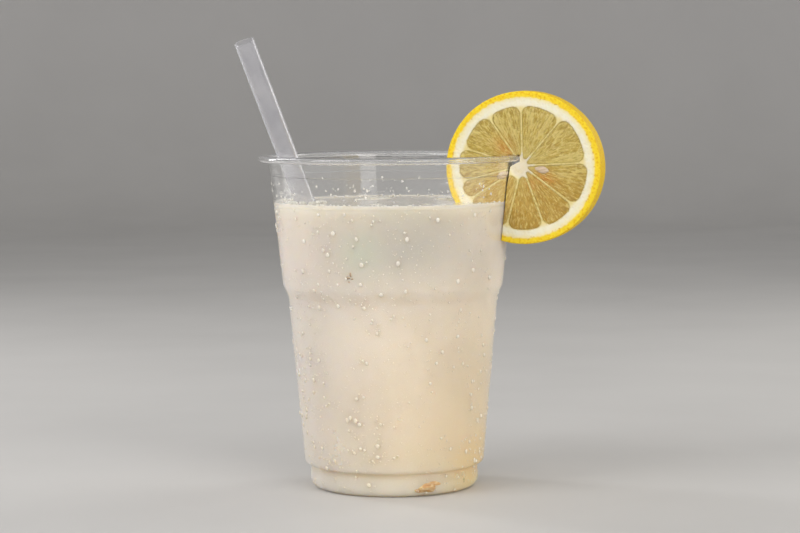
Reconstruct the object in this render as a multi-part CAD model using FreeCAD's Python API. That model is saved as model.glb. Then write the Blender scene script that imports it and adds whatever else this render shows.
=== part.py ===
"""Clear plastic cup of cloudy lemonade, with a straight straw and a lemon wheel on its rim.

Millimetres. The origin is the centre of the cup's base, on the cup's axis, and +Z is up.
+X points to the lemon wheel's side of the cup, and -Y to its front.
"""
import FreeCAD, Part
import math
import os
from FreeCAD import Vector

# Cup: a thin formed wall, all of one piece. Radii are those of the outer surface.
cup_height = 118.2
wall = 0.4
foot_radius = 30.2
foot_round = 3.5
foot_height = 8.4
foot_draw_in = 0.55
shoulder_out = 2.25
shoulder_round = 1.9
shoulder_root_round = 0.35
step_height = 68.3
step_radius = 37.2
step_rise = 4.0
step_out = 1.9
step_round = 4.0
ring_drop = 7.4
ring_out = 0.2
ring_rise = 0.3
rim_radius = 47.5
rim_overhang = 3.7
rim_fillet = 1.1
bead_height = 2.25

# Drink: it fills the cup and the straw to this far below the rim.
drink_headroom = 16.6

# Straw: it leans from the far side of the floor to the near left of the rim.
straw_length = 173.2
straw_radius = 3.5
straw_wall = 0.3
straw_rim_angle = 202.8
straw_foot_angle = 79.3
straw_rim_gap = 0.15
straw_wall_gap = 1.5
straw_floor_gap = 0.05

# Lemon wheel: a slice across the fruit, stood upright on the rim, radial to the cup.
wheel_angle = -15.0
wheel_thickness = 10.6
wheel_radius = 26.6
wheel_bulge = 0.3
wheel_oval = 1.03
wheel_edge_round = 0.5
wheel_past_rim = 0.9
wheel_drop = 4.45

# Pulp: one wedge between each pair of membranes, in an oval field inside the zest and pith.
rind_side = 4.85
rind_top = 5.2
pulp_offset = (0.0, -0.15)
hub_offset = (-0.2, 0.7)
core_width = 7.0
core_height = 7.6
core_offset = (-1.7, 0.2)
membrane = 0.7
wedge_corner = 2.6
first_membrane_angle = 91.0
wedge_angles = (41.5, 46.8, 39.7, 32.6, 35.4, 43.0, 18.0, 30.4, 38.4, 34.2)

# Slit: the cut in the wheel that the rim stands in, a little open outside the wall.
slit_gap = 0.1
slit_open = 0.75
slit_open_drop = 11.0
slit_throat_drop = 4.0

TOP = Vector(0, 0, 1)
CENTRE = Vector(0, 0, 0)
SHORTEST_EDGE = 1e-6
CUT_OVERRUN = 5.0


def unit(vector):
    """The vector's direction, with length one."""
    return Vector(vector).normalize()


def left_of(direction):
    """The direction a quarter turn to the left, in the plane of the outline."""
    return Vector(-direction.y, direction.x, 0)


def offset_corners(corners, distance):
    """The outline's corners, moved to its left by a distance. Each corner is (x, y, round)."""
    points = [Vector(x, y, 0) for x, y, _ in corners]
    runs = [unit(end - start) for start, end in zip(points, points[1:])]
    moved = []
    for index, (x, y, radius) in enumerate(corners):
        before = runs[max(index - 1, 0)]
        after = runs[min(index, len(runs) - 1)]
        middle = unit(left_of(before) + left_of(after))
        turn = before.x * after.y - before.y * after.x
        point = points[index] + middle * (distance / middle.dot(left_of(before)))
        grown = radius - math.copysign(distance, turn) if radius else 0
        moved.append((point.x, point.y, grown))
    return moved


def rounded_edges(corners):
    """Straight runs between the corners, joined by arcs of each corner's own radius."""
    points = [Vector(x, y, 0) for x, y, _ in corners]
    edges = []
    start = points[0]
    for index in range(1, len(points) - 1):
        corner = points[index]
        radius = corners[index][2]
        back = unit(points[index - 1] - corner)
        ahead = unit(points[index + 1] - corner)
        half = back.getAngle(ahead) / 2
        reach = radius / math.tan(half)
        entry = corner + back * reach
        leave = corner + ahead * reach
        middle = corner + unit(back + ahead) * (radius / math.sin(half) - radius)
        if start.distanceToPoint(entry) > SHORTEST_EDGE:
            edges.append(Part.LineSegment(start, entry).toShape())
        if radius:
            edges.append(Part.Arc(entry, middle, leave).toShape())
        start = leave
    edges.append(Part.LineSegment(start, points[-1]).toShape())
    return edges


def revolved(edges):
    """The solid that a closed outline sweeps about the cup's axis. Its x is radius, its y height."""
    face = Part.Face(Part.Wire(Part.__sortEdges__(edges)))
    face.rotate(CENTRE, Vector(1, 0, 0), 90)
    return face.revolve(CENTRE, TOP, 360)


def line(start, end):
    """A straight edge between two (x, y) points of an outline."""
    return Part.LineSegment(Vector(*start[:2], 0), Vector(*end[:2], 0)).toShape()


def foot_top_radius():
    """Outer radius of the foot where it meets the shoulder."""
    return foot_radius - foot_draw_in


def upper_wall_radius(height):
    """Outer radius of the wall above the step, at a height."""
    foot = step_height + step_rise
    start = step_radius + step_out
    end = rim_radius - rim_overhang
    return start + (end - start) * (height - foot) / (cup_height - bead_height - foot)


def lower_wall_radius(height):
    """Outer radius of the wall below the step, at a height."""
    start = foot_top_radius() + shoulder_out
    share = (height - foot_height) / (step_height - foot_height)
    return start + (step_radius - start) * share


def wall_corners():
    """The wall's outer surface, from the middle of the base to the end of the rolled rim."""
    flange = cup_height - wall
    curl = bead_height / 2 - wall
    skin = rim_radius - wall
    step_top = step_height + step_rise
    ring = cup_height - ring_drop
    return [
        (0, 0, 0),
        (foot_radius, 0, foot_round),
        (foot_top_radius(), foot_height, shoulder_root_round),
        (lower_wall_radius(foot_height), foot_height, shoulder_round),
        (step_radius, step_height, step_round),
        (upper_wall_radius(step_top), step_top, step_round),
        (upper_wall_radius(ring) - ring_out / 2, ring, 0),
        (upper_wall_radius(ring) + ring_out / 2, ring + ring_rise, 0),
        (upper_wall_radius(cup_height), flange, rim_fillet),
        (skin, flange, curl),
        (skin, flange - 2 * curl, curl),
        (skin - 1.5 * curl, flange - 2 * curl, 0),
    ]


def make_cup():
    """One wall of even thickness: base, foot, shoulder, step, ring line and rolled rim."""
    outside = wall_corners()
    inside = offset_corners(outside, wall)
    ends = [line(outside[0], inside[0]), line(outside[-1], inside[-1])]
    return revolved(rounded_edges(outside) + rounded_edges(inside) + ends)


def make_cavity():
    """The space inside the cup, up to the rim."""
    inside = offset_corners(wall_corners(), wall)
    mouth = (upper_wall_radius(cup_height) - wall, cup_height, 0)
    skin = inside[:-4] + [mouth]
    closing = [line(mouth, (0, cup_height)), line((0, cup_height), inside[0])]
    return revolved(rounded_edges(skin) + closing)


def straw_reach(tilt, lean, bearing):
    """How far the leaning straw's level section reaches from its axis towards a bearing."""
    return straw_radius * math.sqrt(1 + (math.tan(tilt) * math.cos(bearing - lean)) ** 2)


def straw_axis():
    """The middle of the straw's lower end, and its direction, once it touches rim and floor."""
    rim_angle = math.radians(straw_rim_angle)
    foot_angle = math.radians(straw_foot_angle)
    mouth = upper_wall_radius(cup_height - bead_height) - wall
    floor = foot_top_radius() - wall
    tilt = 0.0
    lean = rim_angle
    for _ in range(20):
        rim = mouth - straw_rim_gap - straw_reach(tilt, lean, rim_angle)
        foot = floor - straw_wall_gap - straw_reach(tilt, lean, foot_angle)
        low = wall + straw_floor_gap + straw_radius * math.sin(tilt)
        upper = Vector(rim * math.cos(rim_angle), rim * math.sin(rim_angle), cup_height)
        lower = Vector(foot * math.cos(foot_angle), foot * math.sin(foot_angle), low)
        run = upper - lower
        tilt = math.atan2(math.hypot(run.x, run.y), run.z)
        lean = math.atan2(run.y, run.x)
    return lower, unit(run)


def make_straw(radius):
    """A straight round bar along the straw's axis."""
    foot, direction = straw_axis()
    return Part.makeCylinder(radius, straw_length, foot, direction)


def placed_wheel(shape):
    """Stands a shape drawn flat about the wheel's centre on the rim, facing the front."""
    placed = shape.copy()
    placed.rotate(CENTRE, Vector(1, 0, 0), 90)
    placed.translate(Vector(rim_radius + wheel_past_rim, 0, cup_height - wheel_drop))
    placed.rotate(CENTRE, TOP, wheel_angle)
    return placed


def wheel_disc():
    """The whole slice, flat: a slightly oval disc with a bulged rind and rounded edges."""
    half = wheel_thickness / 2
    side = wheel_radius - wheel_edge_round
    corner = wheel_edge_round * (1 - math.sqrt(0.5))
    edges = []
    for sign in (1, -1):
        outer = Vector(wheel_radius, sign * (half - wheel_edge_round), 0)
        middle = Vector(wheel_radius - corner, sign * (half - corner), 0)
        inner = Vector(side, sign * half, 0)
        edges.append(Part.Arc(outer, middle, inner).toShape())
        edges.append(line((side, sign * half), (0, sign * half)))
    upper = Vector(wheel_radius, half - wheel_edge_round, 0)
    lower = Vector(wheel_radius, wheel_edge_round - half, 0)
    edges.append(Part.Arc(upper, Vector(wheel_radius + wheel_bulge, 0, 0), lower).toShape())
    edges.append(line((0, half), (0, -half)))
    oval = FreeCAD.Matrix()
    oval.scale(wheel_oval, 1, 1)
    return revolved(edges).transformGeometry(oval)


def oval_reach(angle, centre, width, height):
    """Distance from the hub, along an angle, to the edge of an oval about a centre."""
    start_x = (hub_offset[0] - centre[0]) / (width / 2)
    start_y = (hub_offset[1] - centre[1]) / (height / 2)
    run_x = math.cos(angle) / (width / 2)
    run_y = math.sin(angle) / (height / 2)
    square = run_x ** 2 + run_y ** 2
    product = start_x * run_x + start_y * run_y
    rest = start_x ** 2 + start_y ** 2 - 1
    return (math.sqrt(product ** 2 - square * rest) - product) / square


def wedge(middle_angle, spread):
    """One wedge of pulp through the slice, with an arc at each end and rounded outer corners."""
    half = spread / 2
    skin = membrane / 2
    field_width = 2 * (wheel_radius * wheel_oval - rind_side)
    field_height = 2 * (wheel_radius - rind_top)
    outer = oval_reach(middle_angle, pulp_offset, field_width, field_height)
    inner = oval_reach(middle_angle, core_offset, core_width, core_height)
    tip_distance = (inner - skin) / (1 - math.sin(half))
    tip = tip_distance * math.sin(half) - skin
    widest_corner = (outer * math.sin(half) - skin) / (1 + math.sin(half))
    corner = min(wedge_corner, 0.9 * widest_corner)
    corner_angle = half - math.asin((skin + corner) / (outer - corner))

    def at(distance, angle, across=0.0):
        return Vector(distance * math.cos(angle) - across * math.sin(angle),
                      distance * math.sin(angle) + across * math.cos(angle), 0)

    def side(distance, sign):
        along = distance * math.cos(half)
        return at(along, sign * half, -sign * skin)

    edges = [Part.Arc(side(tip_distance, 1), at(inner, 0), side(tip_distance, -1)).toShape()]
    for sign in (1, -1):
        bend = at(outer - corner, sign * corner_angle)
        foot = at((outer - corner) * math.cos(half - corner_angle), sign * half, -sign * skin)
        crown = at(outer, sign * corner_angle)
        middle = bend + unit((foot - bend) / corner + (crown - bend) / corner) * corner
        edges.append(Part.LineSegment(side(tip_distance, sign), foot).toShape())
        edges.append(Part.Arc(foot, middle, crown).toShape())
    edges.append(Part.Arc(at(outer, corner_angle), at(outer, 0), at(outer, -corner_angle)).toShape())
    face = Part.Face(Part.Wire(Part.__sortEdges__(edges)))
    face.rotate(CENTRE, TOP, math.degrees(middle_angle))
    face.translate(Vector(hub_offset[0], hub_offset[1], -wheel_thickness / 2))
    return face.extrude(Vector(0, 0, wheel_thickness))


def wheel_wedges():
    """All the wedges, clockwise from the first membrane."""
    wedges = []
    angle = math.radians(first_membrane_angle)
    for spread in map(math.radians, wedge_angles):
        wedges.append(wedge(angle - spread / 2, spread))
        angle -= spread
    return wedges


def make_slit():
    """The ring-shaped cut that the wall and the rolled rim stand in, as deep as the wheel."""
    below = cup_height - wheel_drop - wheel_radius - CUT_OVERRUN
    bead_bottom = cup_height - bead_height - slit_gap
    throat = cup_height - slit_throat_drop
    closed = cup_height - slit_open_drop
    outside = ring_out / 2 + slit_gap
    inside = wall + outside
    outline = [
        (upper_wall_radius(below) - inside, below),
        (upper_wall_radius(cup_height) - inside, cup_height),
        (rim_radius + slit_gap, cup_height),
        (rim_radius + slit_gap, bead_bottom),
        (upper_wall_radius(throat) + slit_open, throat),
        (upper_wall_radius(closed) + outside, closed),
        (upper_wall_radius(below) + outside, below),
    ]
    return revolved([line(start, end) for start, end in zip(outline, outline[1:] + outline[:1])])


def export(name, shape):
    """Writes one sub-part to its own file."""
    shape.exportStep("parts/" + name + ".step")


def main():
    os.makedirs("parts", exist_ok=True)
    cup = make_cup()
    export("cup", cup)
    tube = make_straw(straw_radius).cut(make_straw(straw_radius - straw_wall))
    export("straw", tube)

    slit = make_slit()
    disc = wheel_disc()
    wedges = wheel_wedges()
    wheel = placed_wheel(disc).cut(slit)
    export("lemon_peel", placed_wheel(disc.cut(Part.makeCompound(wedges))).cut(slit))
    for number, shape in enumerate(wedges, start=1):
        pieces = placed_wheel(shape).cut(slit).Solids
        pieces.sort(key=lambda piece: piece.Volume, reverse=True)
        for letter, piece in zip(("", "b", "c"), pieces):
            export("lemon_pulp_%02d%s" % (number, letter), piece)

    below_level = Part.makeCylinder(2 * rim_radius, cup_height - drink_headroom)
    export("lemonade", make_cavity().common(below_level).cut(tube).cut(wheel))


main()
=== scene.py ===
"""A clear disposable plastic cup of cloudy lemonade, with a frosted straw and a slit lemon wheel.

Meshes are worked out in millimetres and turned into metres where they are made. Lamps, the camera
and what a material measures are in metres.
"""

import math
from math import cos, pi, sin

import bmesh
import bpy
import numpy as np
from mathutils import Matrix, Vector, kdtree, noise
from mathutils.geometry import delaunay_2d_cdt


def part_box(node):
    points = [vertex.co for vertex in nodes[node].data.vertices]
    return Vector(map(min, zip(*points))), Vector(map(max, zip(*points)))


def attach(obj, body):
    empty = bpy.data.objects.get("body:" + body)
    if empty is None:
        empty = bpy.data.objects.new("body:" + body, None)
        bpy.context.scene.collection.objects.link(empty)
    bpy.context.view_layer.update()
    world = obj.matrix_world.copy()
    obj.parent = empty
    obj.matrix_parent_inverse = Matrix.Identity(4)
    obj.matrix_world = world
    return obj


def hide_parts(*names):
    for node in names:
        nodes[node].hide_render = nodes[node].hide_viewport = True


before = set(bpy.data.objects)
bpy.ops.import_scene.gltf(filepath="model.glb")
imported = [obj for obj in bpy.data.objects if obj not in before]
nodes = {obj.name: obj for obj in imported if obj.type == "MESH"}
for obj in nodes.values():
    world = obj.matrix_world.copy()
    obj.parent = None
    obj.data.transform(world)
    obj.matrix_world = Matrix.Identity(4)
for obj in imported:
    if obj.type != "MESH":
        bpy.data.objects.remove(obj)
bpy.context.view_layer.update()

MM = 0.001


# ---- camera, floor and light

# The lamps: place, width and height, power in watts, colour. All of them aim at the cup's middle.
LAMPS = {
    "key": ((-0.72, -0.42, 0.60), (0.5, 0.7), 3.2, (1.0, 0.99, 0.99)),
    "back_left": ((-0.62, 0.42, 0.42), (0.14, 0.7), 1.8, (1.0, 0.99, 1.0)),
    "back_right": ((0.6, 0.42, 0.42), (0.3, 0.6), 1.5, (1.0, 0.98, 0.94)),
    "fill": ((0.84, -1.12, 0.52), (1.1, 0.95), 7.6, (1.0, 0.97, 0.93)),
    "strip": ((-0.05, -0.62, 0.78), (1.4, 0.2), 2.6, (1.0, 1.0, 1.0)),
}
AIM = Vector((0.0, 0.0, 0.075))


def new_object(name, data):
    made = bpy.data.objects.new(name, data)
    bpy.context.scene.collection.objects.link(made)
    return made


def add_camera():
    """A long lens, a little above the drink's level, that looks slightly down."""
    camera = new_object("camera", bpy.data.cameras.new("camera"))
    camera.data.sensor_width = 36.0
    camera.data.lens = 106.92
    yaw, pitch, roll = (math.radians(v) for v in (-0.173, -4.412, -0.424))
    turn = (
        Matrix.Rotation(yaw, 4, "Z")
        @ Matrix.Rotation(pi / 2 + pitch, 4, "X")
        @ Matrix.Rotation(roll, 4, "Z")
    )
    camera.matrix_world = Matrix.Translation((0.0, -0.8438, 0.1434)) @ turn
    bpy.context.scene.camera = camera


def add_lights():
    for name, (place, size, power, colour) in LAMPS.items():
        light = bpy.data.lights.new(name, "AREA")
        light.shape = "RECTANGLE"
        light.size, light.size_y = size
        light.energy = power
        light.color = colour
        lamp = new_object(name, light)
        lamp.location = place
        lamp.rotation_euler = (AIM - lamp.location).to_track_quat("-Z", "Y").to_euler()
    world = bpy.data.worlds.new("world")
    bpy.context.scene.world = world
    world.use_nodes = True
    background = world.node_tree.nodes["Background"]
    background.inputs["Color"].default_value = (1.0, 1.0, 1.0, 1)
    background.inputs["Strength"].default_value = 0.35


def add_stage():
    """A round pale floor that sweeps up into a plain wall, the same from every side."""
    reach, sweep, top = 1900.0, 350.0, 620.0
    profile = [(r, 0.0) for r in (0.0, 120.0, 400.0, 900.0, 1400.0)]
    profile += [
        (reach - sweep + sweep * sin(t), sweep * (1 - cos(t)))
        for t in np.linspace(0, pi / 2, 15)
    ]
    profile.append((reach, top))
    verts, faces = lathe(profile, 96)
    mesh = bpy.data.meshes.new("floor")
    mesh.from_pydata((as_array(verts) * MM).tolist(), [], [f[::-1] for f in faces])
    mesh.polygons.foreach_set("use_smooth", [True] * len(faces))
    mat, bsdf, tree = new_material("pale_floor", Roughness=0.6)
    place = place_of(tree)
    stains = noise_of(tree, place, 9.0, 5.0)
    pale = colour_ramp(tree, stains, [(0.3, FLOOR_DARK), (0.7, FLOOR_PALE)])
    rise = remap(tree, axes_of(tree, place)["Z"], 0.0, 0.5)
    tree.links.new(mix_colour(tree, rise, pale, WALL_TONE), bsdf.inputs["Base Color"])
    mesh.materials.append(mat)
    new_object("floor", mesh)


# ---- materials

def new_material(name, **inputs):
    """A material, its shader and its node tree. The inputs' spaces are written as underscores."""
    mat = bpy.data.materials.new(name)
    mat.use_nodes = True
    tree = mat.node_tree
    bsdf = tree.nodes["Principled BSDF"]
    for key, value in inputs.items():
        bsdf.inputs[key.replace("_", " ")].default_value = value
    return mat, bsdf, tree


def add_node(tree, kind, inputs, **settings):
    """The outputs of a new node. inputs gives a value or another node's output for each input."""
    node = tree.nodes.new("ShaderNode" + kind)
    for key, value in settings.items():
        setattr(node, key, value)
    for key, value in inputs.items():
        if isinstance(value, bpy.types.NodeSocket):
            tree.links.new(value, node.inputs[key])
        else:
            node.inputs[key].default_value = value
    return node.outputs


def colour_ramp(tree, factor, stops):
    """The colour that factor picks between stops, each (place, colour)."""
    ramp = tree.nodes.new("ShaderNodeValToRGB")
    elements = ramp.color_ramp.elements
    while len(elements) < len(stops):
        elements.new(0.5)
    for element, (place, colour) in zip(elements, stops):
        element.position = place
        element.color = (*colour, 1.0)
    tree.links.new(factor, ramp.inputs["Fac"])
    return ramp.outputs["Color"]


def mix_colour(tree, factor, first, second, blend="MIX"):
    """first with second over it, as far as the socket factor says. Both are sockets or colours."""
    inputs = {0: factor}
    for index, value in ((6, first), (7, second)):
        inputs[index] = value if isinstance(value, bpy.types.NodeSocket) else (*value, 1.0)
    return add_node(tree, "Mix", inputs, data_type="RGBA", blend_type=blend)[2]


def noise_of(tree, place, scale, detail=2.0, rough=0.5, twist=0.0):
    inputs = {"Vector": place, "Scale": scale, "Detail": detail, "Roughness": rough, "Distortion": twist}
    return add_node(tree, "TexNoise", inputs)["Fac"]


def cell_distance(tree, place, scale):
    """The distance to the middle of the nearest of many random cells."""
    return add_node(tree, "TexVoronoi", {"Vector": place, "Scale": scale})["Distance"]


def remap(tree, value, low, high, new_low=0.0, new_high=1.0):
    """The value, moved from the range low to high into the range new_low to new_high, and kept in it."""
    inputs = {"Value": value, "From Min": low, "From Max": high, "To Min": new_low, "To Max": new_high}
    return add_node(tree, "MapRange", inputs)["Result"]


def stretched(tree, place, scale):
    return add_node(tree, "Mapping", {"Vector": place, "Scale": scale})["Vector"]


def place_of(tree):
    """The shaded point in the frame, in metres. Every object sits at the origin."""
    return add_node(tree, "TexCoord", {})["Object"]


def axes_of(tree, place):
    """The X, Y and Z of the place, by name."""
    return add_node(tree, "SeparateXYZ", {0: place})


def product(tree, first, second):
    return add_node(tree, "Math", {0: first, 1: second}, operation="MULTIPLY")[0]


def nearness(tree, place, centre, far, close, strength):
    """A value that grows from 0 at the distance far from centre to strength at the distance close."""
    away = add_node(tree, "VectorMath", {0: place, 1: centre}, operation="DISTANCE")["Value"]
    return remap(tree, away, far, close, 0.0, strength)


def painted(tree):
    """The colour that a piece's vertices carry."""
    return add_node(tree, "Attribute", {}, attribute_name="paint")["Color"]


def colour_by(tree, bsdf, factor, stops):
    """Colours the shader by a ramp that factor runs along."""
    tree.links.new(colour_ramp(tree, factor, stops), bsdf.inputs["Base Color"])


def add_bump(tree, bsdf, heights):
    """Bumps the shader's surface. heights is a list of (socket, strength, metres)."""
    normal = None
    for height, strength, distance in heights:
        inputs = {"Height": height, "Strength": strength, "Distance": distance}
        if normal is not None:
            inputs["Normal"] = normal
        normal = add_node(tree, "Bump", inputs)["Normal"]
    tree.links.new(normal, bsdf.inputs["Normal"])


def let_lamps_through(tree, bsdf, tint=(1.0, 1.0, 1.0)):
    """Rays from lamps pass a clear piece straight, tinted, so that they light what is inside it."""
    shadow = add_node(tree, "LightPath", {})["Is Shadow Ray"]
    clear = add_node(tree, "BsdfTransparent", {"Color": (*tint, 1.0)})[0]
    mixed = add_node(tree, "MixShader", {0: shadow, 1: bsdf.outputs[0], 2: clear})[0]
    tree.links.new(mixed, tree.nodes["Material Output"].inputs["Surface"])


# ---- meshes

def as_array(points):
    return np.asarray(points, float).reshape(-1, 3)


def mesh_piece(
    name, verts, faces, mats, slot, replaces=(), colours=None, uv=None, face_mats=None, normals=None
):
    """A smooth-shaded piece on the body root, from vertices in millimetres.

    mats is one material, or a list that face_mats points into. colours is an RGB for each vertex,
    uv a pair and normals a direction.
    """
    mesh = bpy.data.meshes.new(name)
    mesh.from_pydata((as_array(verts) * MM).tolist(), [], faces)
    mesh.polygons.foreach_set("use_smooth", [True] * len(mesh.polygons))
    for mat in mats if isinstance(mats, (list, tuple)) else [mats]:
        mesh.materials.append(mat)
    if face_mats is not None:
        mesh.polygons.foreach_set("material_index", face_mats)
    if colours is not None:
        layer = mesh.color_attributes.new("paint", "FLOAT_COLOR", "POINT")
        rgba = np.ones((len(mesh.vertices), 4), np.float32)
        rgba[:, :3] = colours
        layer.data.foreach_set("color", rgba.ravel())
    if uv is not None:
        layer = mesh.uv_layers.new(name="polar")
        loops = np.zeros(len(mesh.loops), np.int32)
        mesh.loops.foreach_get("vertex_index", loops)
        layer.data.foreach_set("uv", np.asarray(uv, np.float32)[loops].ravel())
    mesh.update()
    if normals is not None:
        mesh.normals_split_custom_set_from_vertices(normals)
    piece = new_object(name, mesh)
    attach(piece, "root")
    if replaces:
        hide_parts(*replaces)


def lathe(profile, turns):
    """Vertices and faces of a profile of (radius, height) turned round the Z axis.

    A radius of 0 is one vertex.
    """
    verts, rings, faces = [], [], []
    angles = np.linspace(0, 2 * pi, turns, endpoint=False)
    for radius, height in profile:
        if radius < 1e-6:
            rings.append([len(verts)] * turns)
            verts.append((0, 0, height))
        else:
            rings.append(list(range(len(verts), len(verts) + turns)))
            verts += [(radius * cos(a), radius * sin(a), height) for a in angles]
    for low, high in zip(rings, rings[1:]):
        for i in range(turns):
            j = (i + 1) % turns
            face = [low[i], low[j], high[j], high[i]]
            face = [v for k, v in enumerate(face) if v != face[k - 1]]
            if len(face) > 2:
                faces.append(face)
    return verts, faces


# ---- what the CAD says

def node_points(name):
    """The vertices of a CAD node, in millimetres."""
    mesh = nodes[name].data
    co = np.zeros(len(mesh.vertices) * 3)
    mesh.vertices.foreach_get("co", co)
    return co.reshape(-1, 3) / MM


def cup_section():
    """The cup cut by the plane y = 0, on the +X side: edges of two points, each (radius, height)."""
    bm = bmesh.new()
    bm.from_mesh(nodes["cup"].data)
    everything = bm.verts[:] + bm.edges[:] + bm.faces[:]
    cut = bmesh.ops.bisect_plane(bm, geom=everything, plane_co=(0, 0, 0), plane_no=(0, 1, 0))
    edges = [
        [(v.co.x / MM, v.co.z / MM) for v in e.verts]
        for e in cut["geom_cut"]
        if isinstance(e, bmesh.types.BMEdge) and max(v.co.x for v in e.verts) > 0
    ]
    bm.free()
    return np.array(edges)


def crossings(edges, axis, value):
    """Where the section meets a line of constant radius (axis 0) or constant height (axis 1).

    Gives the other coordinate of each meeting, in order.
    """
    a, b = edges[:, 0, axis], edges[:, 1, axis]
    hit = (a - value) * (b - value) < 0
    t = (value - a[hit]) / (b[hit] - a[hit])
    other = edges[hit, 0, 1 - axis] * (1 - t) + edges[hit, 1, 1 - axis] * t
    return np.sort(other[other > 0 if axis == 1 else slice(None)])


class Wall:
    """The cup's inner and outer radius against height, in millimetres."""

    lowest, spacing = 0.55, 0.15
    # a line just off a round height or radius doesn't run through the section's corners
    aside = 1e-4

    def __init__(self, top):
        self.edges = cup_section()
        self.heights = np.arange(self.lowest, top, self.spacing)
        inner, outer = [], []
        for z in self.heights:
            found = crossings(self.edges, 1, z + self.aside)
            inner.append(found[0])
            outer.append(found[1] if len(found) > 1 else found[0])
        self.inner, self.outer = np.array(inner), np.array(outer)

    def at(self, z, side="outer"):
        return np.interp(z, self.heights, getattr(self, side))

    def floor_at(self, r):
        """The height of the floor's upper side."""
        return crossings(self.edges, 0, r + self.aside)[1]

    def slope(self, z, side="outer"):
        """How much the radius grows with height."""
        reach = 0.2
        return (self.at(z + reach, side) - self.at(z - reach, side)) / (2 * reach)


# ---- colours (linear)

def srgb(r, g, b):
    """A colour of 0 to 255, made linear."""
    return np.array([
        (c / 255 / 12.92) if c <= 10 else ((c / 255 + 0.055) / 1.055) ** 2.4
        for c in (r, g, b)
    ])


FLOOR_PALE = srgb(206, 204, 201)
FLOOR_DARK = srgb(200, 198, 195)
WALL_TONE = srgb(214, 212, 212)

DRINK_PALE = srgb(233, 224, 211)
DRINK_GREY = srgb(222, 213, 199)
DRINK_GOLD = srgb(231, 210, 166)
DRINK_GREEN = srgb(196, 206, 184)
DRINK_SHADE = srgb(194, 190, 179)
DRINK_BRIM_SHADE = srgb(196, 187, 170)
DRINK_KEY_LIGHT_LEFT = srgb(227, 219, 209)
DRINK_FOOT_LIGHT = srgb(242, 229, 206)
DRINK_WARM_LIGHT_SPOT = srgb(238, 206, 140)
DRINK_FLECK = srgb(250, 246, 236)
TOP_DARK = srgb(200, 192, 172)
TOP_MIDDLE = srgb(214, 206, 186)
TOP_PALE = srgb(230, 224, 208)

DEW_DULL = srgb(232, 224, 212)
DEW_BRIGHT = srgb(246, 240, 230)
DEW_WARM = srgb(248, 232, 202)
WATER_DULL = srgb(246, 243, 234)
WATER_BRIGHT = srgb(255, 253, 247)
FOAM_DULL = srgb(226, 222, 206)
FOAM_BRIGHT = srgb(252, 250, 245)
STRAW_DULL = srgb(238, 238, 242)
STRAW_BRIGHT = srgb(250, 250, 252)
SEED_DARK = srgb(192, 164, 130)
SEED_PALE = srgb(226, 206, 180)

ZEST = srgb(255, 226, 62)
ZEST_DEEP = srgb(226, 168, 8)
ZEST_SIDE = srgb(240, 202, 20)
PITH = srgb(246, 240, 216)
PITH_YELLOW = srgb(243, 228, 150)
MEMBRANE = srgb(236, 216, 140)
CORE = srgb(230, 219, 194)
PULP = srgb(197, 171, 85)
PULP_DARK = srgb(160, 134, 60)
PULP_PALE = srgb(226, 208, 132)
PULP_ORANGE = srgb(206, 130, 40)
PULP_SHADED_GOLD = srgb(182, 136, 42)


# ---- the drink

def body_material(level):
    """Cloudy drink, seen through the wall: even and pale on the left, a tone painted for the key light
    there, and golden low on the right, from settled pulp and painted warm light.
    """
    mat, bsdf, tree = new_material(
        "cloudy_lemonade", Roughness=0.35, IOR=1.35, Specular_IOR_Level=0.3,
        Subsurface_Weight=0.75, Subsurface_Radius=(1.0, 0.8, 0.5), Subsurface_Scale=0.02,
    )
    place = place_of(tree)
    axes = axes_of(tree, place)
    clouds = noise_of(tree, place, 38.0, 3.0, 0.6, 0.4)
    colour = colour_ramp(tree, clouds, [(0.34, DRINK_GREY), (0.66, DRINK_PALE)])
    low, right = remap(tree, axes["Z"], 0.085, 0.0), remap(tree, axes["X"], -0.03, 0.035)
    high = remap(tree, axes["Z"], 0.066, 0.084)
    upper_middle = nearness(tree, place, (0.004, -0.038, 0.094), 0.036, 0.008, 0.8)
    layers = [
        # painted light: the left side gets a cooler, greyer tone for the key light that falls on it
        (remap(tree, axes["X"], 0.006, -0.04, 0.0, 0.85), DRINK_KEY_LIGHT_LEFT),
        # golden low on the right: settled pulp low down, and painted warm light on the right side
        (product(tree, low, right), DRINK_GOLD),
        # painted light: the foot is lightened against the shade it sits in
        (remap(tree, axes["Z"], 0.0088, 0.0074, 0.0, 0.45), DRINK_FOOT_LIGHT),
        # painted warm light: a brighter golden spot low on the right
        (nearness(tree, place, (0.029, -0.012, 0.004), 0.02, 0.003, 0.8), DRINK_WARM_LIGHT_SPOT),
        # painted shade: greyer in the upper middle
        (product(tree, high, upper_middle), DRINK_SHADE),
        (nearness(tree, place, (-0.011, -0.038, 0.0855), 0.011, 0.001, 0.4), DRINK_GREEN),
        # painted shade: the edge at the level is darkened, as it would glow otherwise, with light
        # reaching it from two sides
        (remap(tree, axes["Z"], (level - 1.8) * MM, (level - 0.1) * MM, 0.0, 0.75), DRINK_BRIM_SHADE),
        (remap(tree, cell_distance(tree, place, 620.0), 0.16, 0.05, 0.0, 0.35), DRINK_FLECK),
    ]
    for share, over in layers:
        colour = mix_colour(tree, share, colour, over)
    tree.links.new(colour, bsdf.inputs["Base Color"])
    add_bump(tree, bsdf, [(noise_of(tree, place, 90.0, 2.0), 0.12, 0.001)])
    return mat


def surface_material():
    """The wet top of the drink."""
    mat, bsdf, tree = new_material(
        "lemonade_surface", Roughness=0.06, IOR=1.34, Specular_IOR_Level=0.5,
        Subsurface_Weight=0.5, Subsurface_Radius=(1.0, 0.85, 0.55), Subsurface_Scale=0.005,
    )
    place = place_of(tree)
    swirl = noise_of(tree, place, 60.0, 3.0, 0.5, 0.8)
    colour_by(tree, bsdf, swirl, [(0.3, TOP_DARK), (0.54, TOP_MIDDLE), (0.76, TOP_PALE)])
    add_bump(tree, bsdf, [(noise_of(tree, place, 120.0, 2.0), 0.25, 0.0008)])
    return mat


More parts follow.
